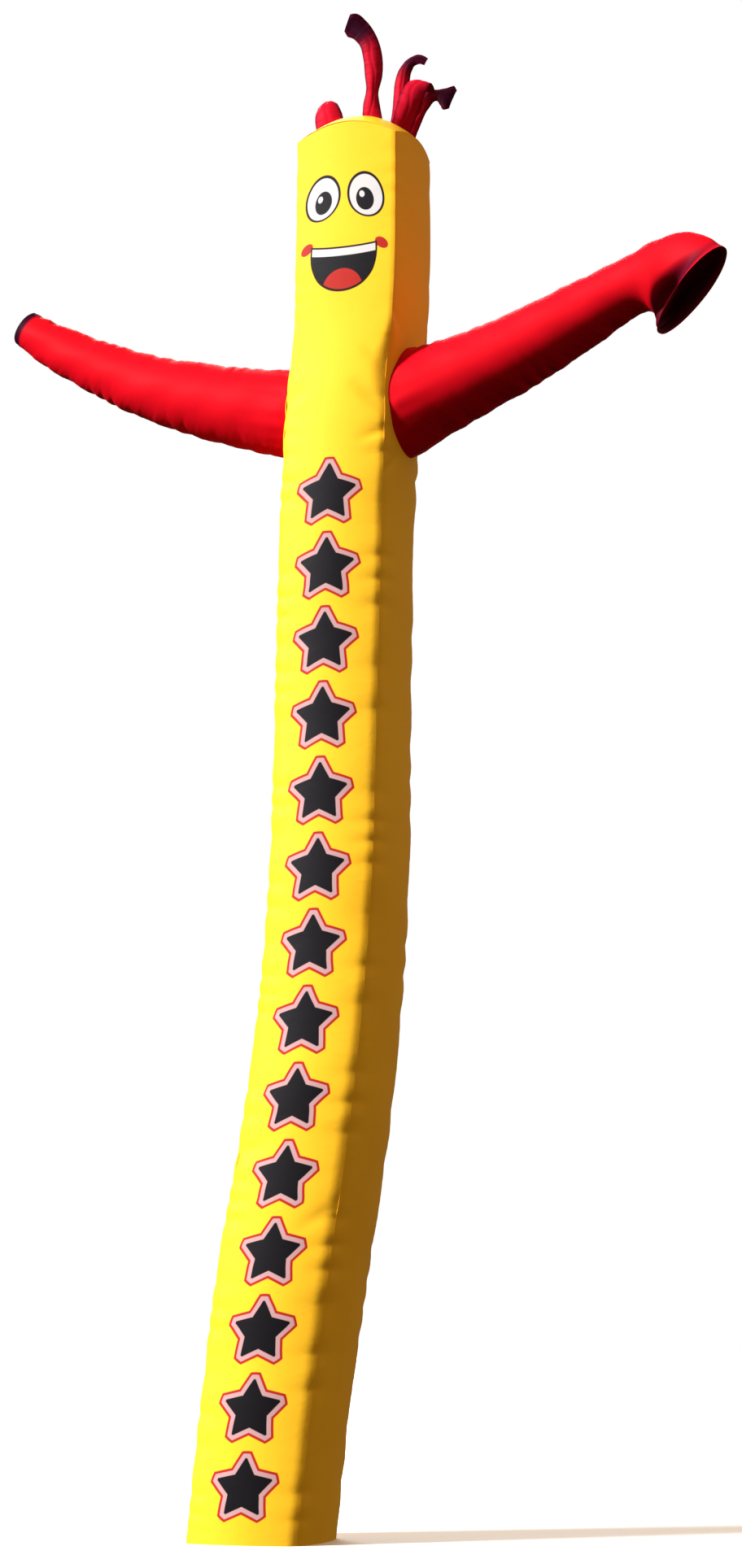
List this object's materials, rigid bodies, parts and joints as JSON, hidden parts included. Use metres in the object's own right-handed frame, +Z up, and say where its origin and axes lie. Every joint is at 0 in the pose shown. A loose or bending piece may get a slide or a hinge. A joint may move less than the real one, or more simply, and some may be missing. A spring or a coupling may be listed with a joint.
{
  "type": "inflatable air dancer",
  "caption": "Inflatable air dancer: square yellow cloth tube with a domed crown and a printed smile, leaning gently, with tapering red sleeves as raised arms and red streamers as hair.",
  "frame": {"origin": "middle of the tube's open mouth, level with the lower edge of its hem", "axes": "+Z up, along the upright blower; the printed front faces -Y; the arms reach to -X and +X"},
  "size_m": [2.7502, 0.486, 5.4288],
  "materials": {
    "yellow_cloth": "plain-woven nylon, slightly glossy, printed on the front",
    "red_cloth": "plain-woven nylon, slightly glossy"
  },
  "bodies": {
    "root": {"panel_front": "yellow_cloth", "panel_right": "yellow_cloth", "panel_back": "yellow_cloth", "panel_left": "yellow_cloth", "crown": "yellow_cloth", "arm_left_front": "red_cloth", "arm_left_back": "red_cloth", "arm_right_front": "red_cloth", "arm_right_back": "red_cloth", "hair_tall": "red_cloth", "hair_wide": "red_cloth", "hair_curl": "red_cloth", "hair_fork": "red_cloth", "hair_stub": "red_cloth"}
  },
  "joints": []
}
